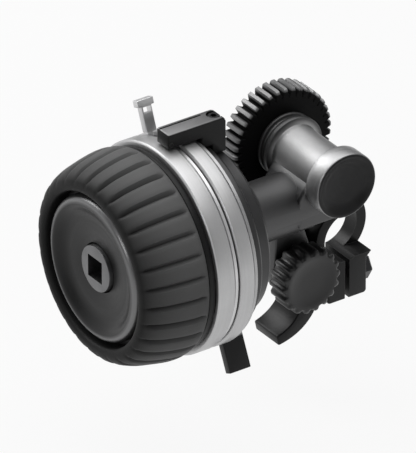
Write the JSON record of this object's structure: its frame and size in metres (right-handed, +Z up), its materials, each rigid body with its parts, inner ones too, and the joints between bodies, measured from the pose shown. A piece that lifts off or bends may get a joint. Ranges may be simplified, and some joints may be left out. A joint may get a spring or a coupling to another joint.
{
  "type": "lens follow focus",
  "caption": "Hand wheel with a ribbed grip and marking bands that turns a toothed lens gear through a right-angle gearbox, on a rod clamp with a cam lever.",
  "frame": {"origin": "on the axis of the rod that the clamp grips", "axes": "+X along the rod, from the lens gear to the drive shaft's capped end; the wheel's axis runs along Y and its face looks to -Y; +Z up"},
  "size_m": [0.0604, 0.0962, 0.0831],
  "materials": {
    "black_metal": "black anodised, fine satin",
    "grip_rubber": "matt black ribbed rubber",
    "silver_band": "bare, turned and brushed round",
    "gear_plastic": "black acetal",
    "knob_plastic": "black nylon",
    "socket_steel": "machined steel",
    "stop_steel": "grey steel",
    "bright_steel": "ground steel",
    "dark_steel": "black oxide",
    "bronze": "machined bronze"
  },
  "bodies": {
    "clamp": {"rod_clamp_body": "black_metal", "clamp_bolt": "bright_steel", "clamp_nut": "dark_steel", "clamp_saddle": "bronze", "hinge_bolt": "dark_steel", "hinge_washer": "bright_steel", "knob_washer": "bright_steel"},
    "lever": {"clamp_lever": "black_metal", "lever_pin": "bright_steel"},
    "knob": {"swing_knob": "knob_plastic"},
    "gearbox": {"gearbox_housing": "black_metal", "body_housing": "black_metal", "index_ring": "silver_band", "pointer_block": "black_metal", "pointer_screw": "dark_steel", "body_screw_1": "dark_steel", "body_screw_2": "dark_steel", "body_screw_3": "dark_steel", "wheel_bearing_front": "bright_steel", "wheel_bearing_rear": "bright_steel", "drive_bearing_left": "bright_steel", "drive_bearing_right": "bright_steel", "end_cap": "black_metal"},
    "wheel": {"wheel_hub": "black_metal", "grip_tyre": "grip_rubber", "front_cap": "black_metal", "whip_socket": "socket_steel", "marking_ring": "silver_band", "hub_screw": "dark_steel", "wheel_shaft": "bright_steel", "thrust_washer": "bronze", "wheel_screw_gear": "bronze"},
    "drive": {"drive_shaft": "bright_steel", "drive_screw_gear": "bronze", "gear_hub": "black_metal", "lens_gear": "gear_plastic", "gear_screw": "dark_steel"},
    "stop_a": {"stop_ring_a": "stop_steel"},
    "stop_b": {"stop_ring_b": "black_metal"}
  },
  "joints": [
    {"name": "gearbox_swing", "type": "hinge", "parent": "clamp", "child": "gearbox", "pos_m": [0, -0.0177, -0.0045], "axis": [1, 0, 0], "range_deg": [-5, 30]},
    {"name": "wheel_spin", "type": "hinge", "parent": "gearbox", "child": "wheel", "pos_m": [0, -0.084, 0.0185], "axis": [0, 1, 0], "continuous": true},
    {"name": "drive_spin", "type": "hinge", "parent": "gearbox", "child": "drive", "pos_m": [0, -0.013, 0.0284], "axis": [1, 0, 0], "continuous": true},
    {"name": "stop_a_turn", "type": "hinge", "parent": "gearbox", "child": "stop_a", "pos_m": [0, -0.084, 0.0185], "axis": [0, -1, 0], "range_deg": [-10, 300]},
    {"name": "stop_b_turn", "type": "hinge", "parent": "gearbox", "child": "stop_b", "pos_m": [0, -0.084, 0.0185], "axis": [0, -1, 0], "range_deg": [-190, 140]},
    {"name": "lock_knob_turn", "type": "hinge", "parent": "clamp", "child": "knob", "pos_m": [0, -0.0177, -0.0045], "axis": [1, 0, 0], "range_deg": [0, 360]},
    {"name": "clamp_lever_swing", "type": "hinge", "parent": "clamp", "child": "lever", "pos_m": [-0.00725, -0.01145, -0.0145], "axis": [1, 0, 0], "range_deg": [-55, 0]}
  ],
  "couplings": [
    {"joint": "drive_spin", "follows": "wheel_spin", "ratio": -1}
  ]
}
